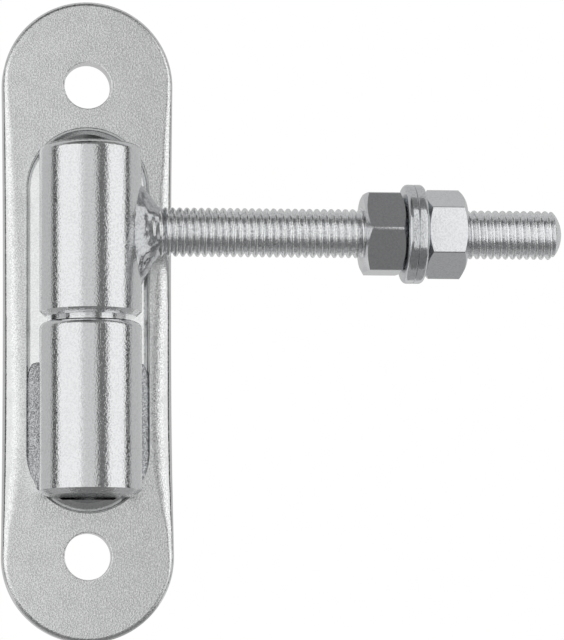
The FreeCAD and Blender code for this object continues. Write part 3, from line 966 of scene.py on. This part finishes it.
# %% Matt floor
FLOOR_Z = -0.60
FLOOR_WIDTH = 4
select_nothing()
bpy.ops.mesh.primitive_plane_add(size=FLOOR_WIDTH, location=(0, 0, FLOOR_Z))
floor = bpy.context.object
floor.name = "pale_floor"
paper_finish = bpy.data.materials.new("pale_paper")
paper_finish.use_nodes = True
tree = paper_finish.node_tree
tree.nodes.clear()
shader = add_node(tree, "ShaderNodeBsdfPrincipled", {
    "Base Color": linear("#E6E6E6"), "Roughness": 0.9})
add_node(tree, "ShaderNodeOutputMaterial", {"Surface": shader.outputs[0]})
floor.data.materials.append(paper_finish)
print("the floor lies", -FLOOR_Z, "m below the hinge")

# %% [markdown]
# ## The grey room
# Between the panels the metal shows the rest of the room. A matt wall would be lit by the lamps
# and be hard to judge, so the walls are painted with light instead: each shines at exactly the
# grey it should show, and only mirrors see it. It is hidden from the camera, casts no shadow and
# lights nothing matt. The room itself is a large grey sphere round everything.


# %% Walls that only metal sees
def painted(sheet, colour):
    """Gives a piece of the room a set brightness, and hides it from all but the metal."""
    material = bpy.data.materials.new(sheet.name)
    material.use_nodes = True
    tree = material.node_tree
    tree.nodes.clear()
    paint = add_node(tree, "ShaderNodeEmission", {"Color": linear(colour), "Strength": 1.0})
    add_node(tree, "ShaderNodeOutputMaterial", {"Surface": paint.outputs[0]})
    sheet.data.materials.append(material)
    sheet.visible_camera = False
    sheet.visible_diffuse = False
    sheet.visible_shadow = False


ROOM_RADIUS = 3.0
select_nothing()
bpy.ops.mesh.primitive_uv_sphere_add(segments=48, ring_count=24, radius=ROOM_RADIUS)
room = bpy.context.object
room.name = "grey_room"
painted(room, "#C8C8C8")
print("the room is", 2 * ROOM_RADIUS, "m across")

# %% [markdown]
# ## The cards
# Darker and lighter cards stand in the room as they would round a studio table. A card is given
# by its four corners, and most either stand upright between two places or lie flat over a strip
# of ground.


# %% Standing and lying cards
def card(name, corners, colour):
    """A card with four corners in metres, seen only in the metal."""
    select_nothing()
    bpy.ops.mesh.primitive_plane_add(size=2)
    sheet = bpy.context.object
    first, second, third, fourth = (Vector(corner) for corner in corners)
    for vertex, corner in zip(sheet.data.vertices, (first, second, fourth, third)):
        vertex.co = corner
    sheet.name = name
    painted(sheet, colour)
    print("card:", name, colour)


def standing_card(name, left, right, low, high, colour):
    """A card between two places on the ground plan."""
    card(name, (left + (low,), right + (low,), right + (high,), left + (high,)), colour)


def lying_card(name, left, right, back, front, colour):
    """A card between two places across, whose back and front edge each have a y and a z."""
    card(name, ((left,) + back, (right,) + back, (right,) + front, (left,) + front), colour)


# %% [markdown]
# A panel shines forwards only, and its back is black cloth. Without it the metal would look
# through the panel from behind and show the grey room there.

# %% Black backs of the panels
FURTHER_OUT = 1.01


def card_behind(name, near, far, low, high):
    """The black back of a panel, a little further out."""
    further = [tuple(FURTHER_OUT * c for c in place) for place in (near, far)]
    standing_card(name, *further, low, high, "#101010")


card_behind("back_of_right_panel", RIGHT_NEAR, RIGHT_FAR, *RIGHT_HEIGHTS)
card_behind("back_of_left_panel", LEFT_NEAR, LEFT_FAR, *LEFT_HEIGHTS)

# %% [markdown]
# Cards above and below darken every face that leans up or down, such as the nuts' upper and
# lower flats. A smaller one over the barrel shades the lens above it, and a paler one further back
# is what the outer nut's lower flat mirrors. A pale card behind the camera lights what faces it,
# a dark one beside it makes the dark band between the barrel's grey and white ones, and two
# narrow ones at the panels' far ends draw the dark lines at the barrel's sides.

# %% Cards of the room
TABLE_LEFT, TABLE_RIGHT = -0.6, 0.7
lying_card("card_above", TABLE_LEFT, TABLE_RIGHT, back=(-0.05, 0.45), front=(-0.60, 0.40),
           colour="#808080")
lying_card("card_over_the_barrel", left=-0.20, right=0.045, back=(-0.06, 0.43),
           front=(-0.27, 0.41), colour="#484848")
lying_card("card_below", TABLE_LEFT, TABLE_RIGHT, back=(0.04, -0.45), front=(-0.90, -0.40),
           colour="#7C7C7C")
lying_card("card_under_the_post", TABLE_LEFT, TABLE_RIGHT, back=(0.60, -0.45),
           front=(0.05, -0.45), colour="#A8A8A8")
standing_card("card_behind_the_camera", left=(-0.80, -1.50), right=(0.30, -1.50), low=-0.6,
              high=0.8, colour="#DCDCDC")
standing_card("card_of_the_photographer", left=(0.095, -0.50), right=(0.32, -0.50), low=-0.3,
              high=0.45, colour="#787878")
standing_card("card_left_edge", left=(-0.456, -0.071), right=(-0.456, 0.055), low=-0.30,
              high=0.30, colour="#585858")
standing_card("card_right_edge", left=(0.456, -0.087), right=(0.456, 0.010), low=-0.30,
              high=0.30, colour="#383838")

# %% [markdown]
# ## The camera
# A long lens stands a little to the left of the hinge and a little below its middle, which
# shows the left faces of the nuts and the undersides of the rims. Its place was worked out from
# the known sizes of the thread, nuts and plate in the picture. It looks from its stand to the
# aim, which isn't quite the point it stands round, and it leans by a third of a degree.

# %% Where the camera stands and looks
CAMERA_AZIMUTH = 6.2
CAMERA_ELEVATION = 6.3
CAMERA_ROLL = -0.3
CAMERA_DISTANCE = 0.880
CAMERA_PIVOT = Vector((0.035, -0.010, 0))
AIM = Vector((0.04644, -0.01118, -0.00056))
a, e, roll = (math.radians(v) for v in (CAMERA_AZIMUTH, CAMERA_ELEVATION, CAMERA_ROLL))
forward = Vector((math.sin(a) * math.cos(e), math.cos(a) * math.cos(e), math.sin(e)))
right = Vector((math.cos(a), -math.sin(a), 0))
stand = CAMERA_PIVOT - forward * CAMERA_DISTANCE
gaze = (AIM - stand).normalized()
level = (right - gaze * right.dot(gaze)).normalized()
upright = level.cross(gaze)
tilted_right = level * math.cos(roll) + upright * math.sin(roll)
tilted_up = upright * math.cos(roll) - level * math.sin(roll)
print("camera stands at", [round(v, 3) for v in stand])

# %% [markdown]
# The lens follows from the scale: so many pixels of the picture for each unit of slope. The
# picture is taller than wide, so its height is what the sensor's 36 mm cover. The Standard view
# transform shows a colour as it was written.

# %% Lens
FOCAL_PIXELS = 3644.5
PICTURE_HEIGHT = 640
lens = bpy.data.cameras.new("long_lens")
lens.sensor_width = 36
lens.lens = FOCAL_PIXELS * lens.sensor_width / PICTURE_HEIGHT
lens.clip_start = 0.05
camera = bpy.data.objects.new("long_lens", lens)
bpy.context.scene.collection.objects.link(camera)
turn = Matrix((tilted_right, tilted_up, -gaze)).transposed()
camera.matrix_world = Matrix.Translation(stand) @ turn.to_4x4()
bpy.context.scene.camera = camera
bpy.context.scene.view_settings.view_transform = "Standard"
print("the lens is", round(lens.lens), "mm long")

# %% [markdown]
# ## The end
# New pieces must not make the hinge larger than it was measured.

# %% End of the script
print("the hinge is built")
